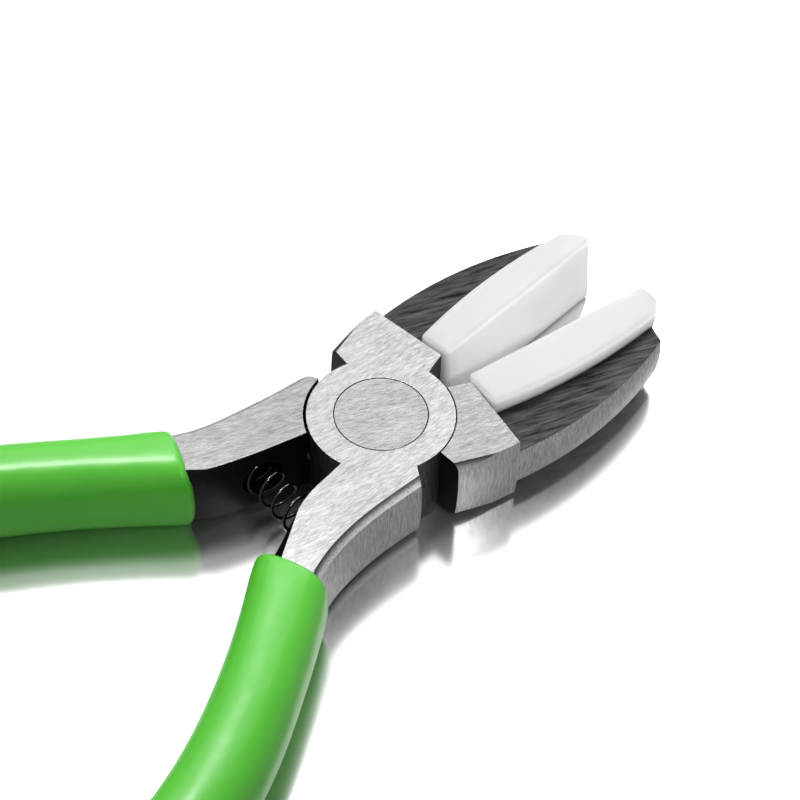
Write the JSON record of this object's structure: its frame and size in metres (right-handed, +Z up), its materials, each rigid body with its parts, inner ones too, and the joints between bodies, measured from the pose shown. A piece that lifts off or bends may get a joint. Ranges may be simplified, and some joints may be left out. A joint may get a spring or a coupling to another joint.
{
  "type": "flat-nose pliers",
  "caption": "Small lap-joint flat-nose pliers with nylon jaw pads, dipped grips and a coil return spring, for jewellery work.",
  "frame": {"origin": "on the pivot axis, at the flat underside of the joint", "axes": "+X towards the jaw tips, +Y towards the upper half's jaw, +Z up along the pivot axis"},
  "size_m": [0.128, 0.0733, 0.0112],
  "materials": {
    "ground_steel": "surface-ground faces, satin",
    "rivet_steel": "ground flush with the joint, satin",
    "spring_steel": "dark spring wire, oiled",
    "nylon": "natural white nylon, satin",
    "dowel_steel": "plain turned pin",
    "grip_vinyl": "dipped green vinyl, glossy"
  },
  "bodies": {
    "lower_body": {"lower_half": "ground_steel", "pivot_rivet": "rivet_steel", "return_spring": "spring_steel", "lower_jaw_pad": "nylon", "lower_pad_dowels": "dowel_steel", "lower_grip": "grip_vinyl"},
    "upper_body": {"upper_half": "ground_steel", "upper_jaw_pad": "nylon", "upper_pad_dowels": "dowel_steel", "upper_grip": "grip_vinyl"}
  },
  "joints": [
    {"name": "pivot", "type": "hinge", "parent": "lower_body", "child": "upper_body", "pos_m": [0, 0, 0], "axis": [0, 0, 1], "range_deg": [-14, 22], "stiffness_Nm_per_rad": 0.2, "deforming": ["return_spring"]}
  ]
}
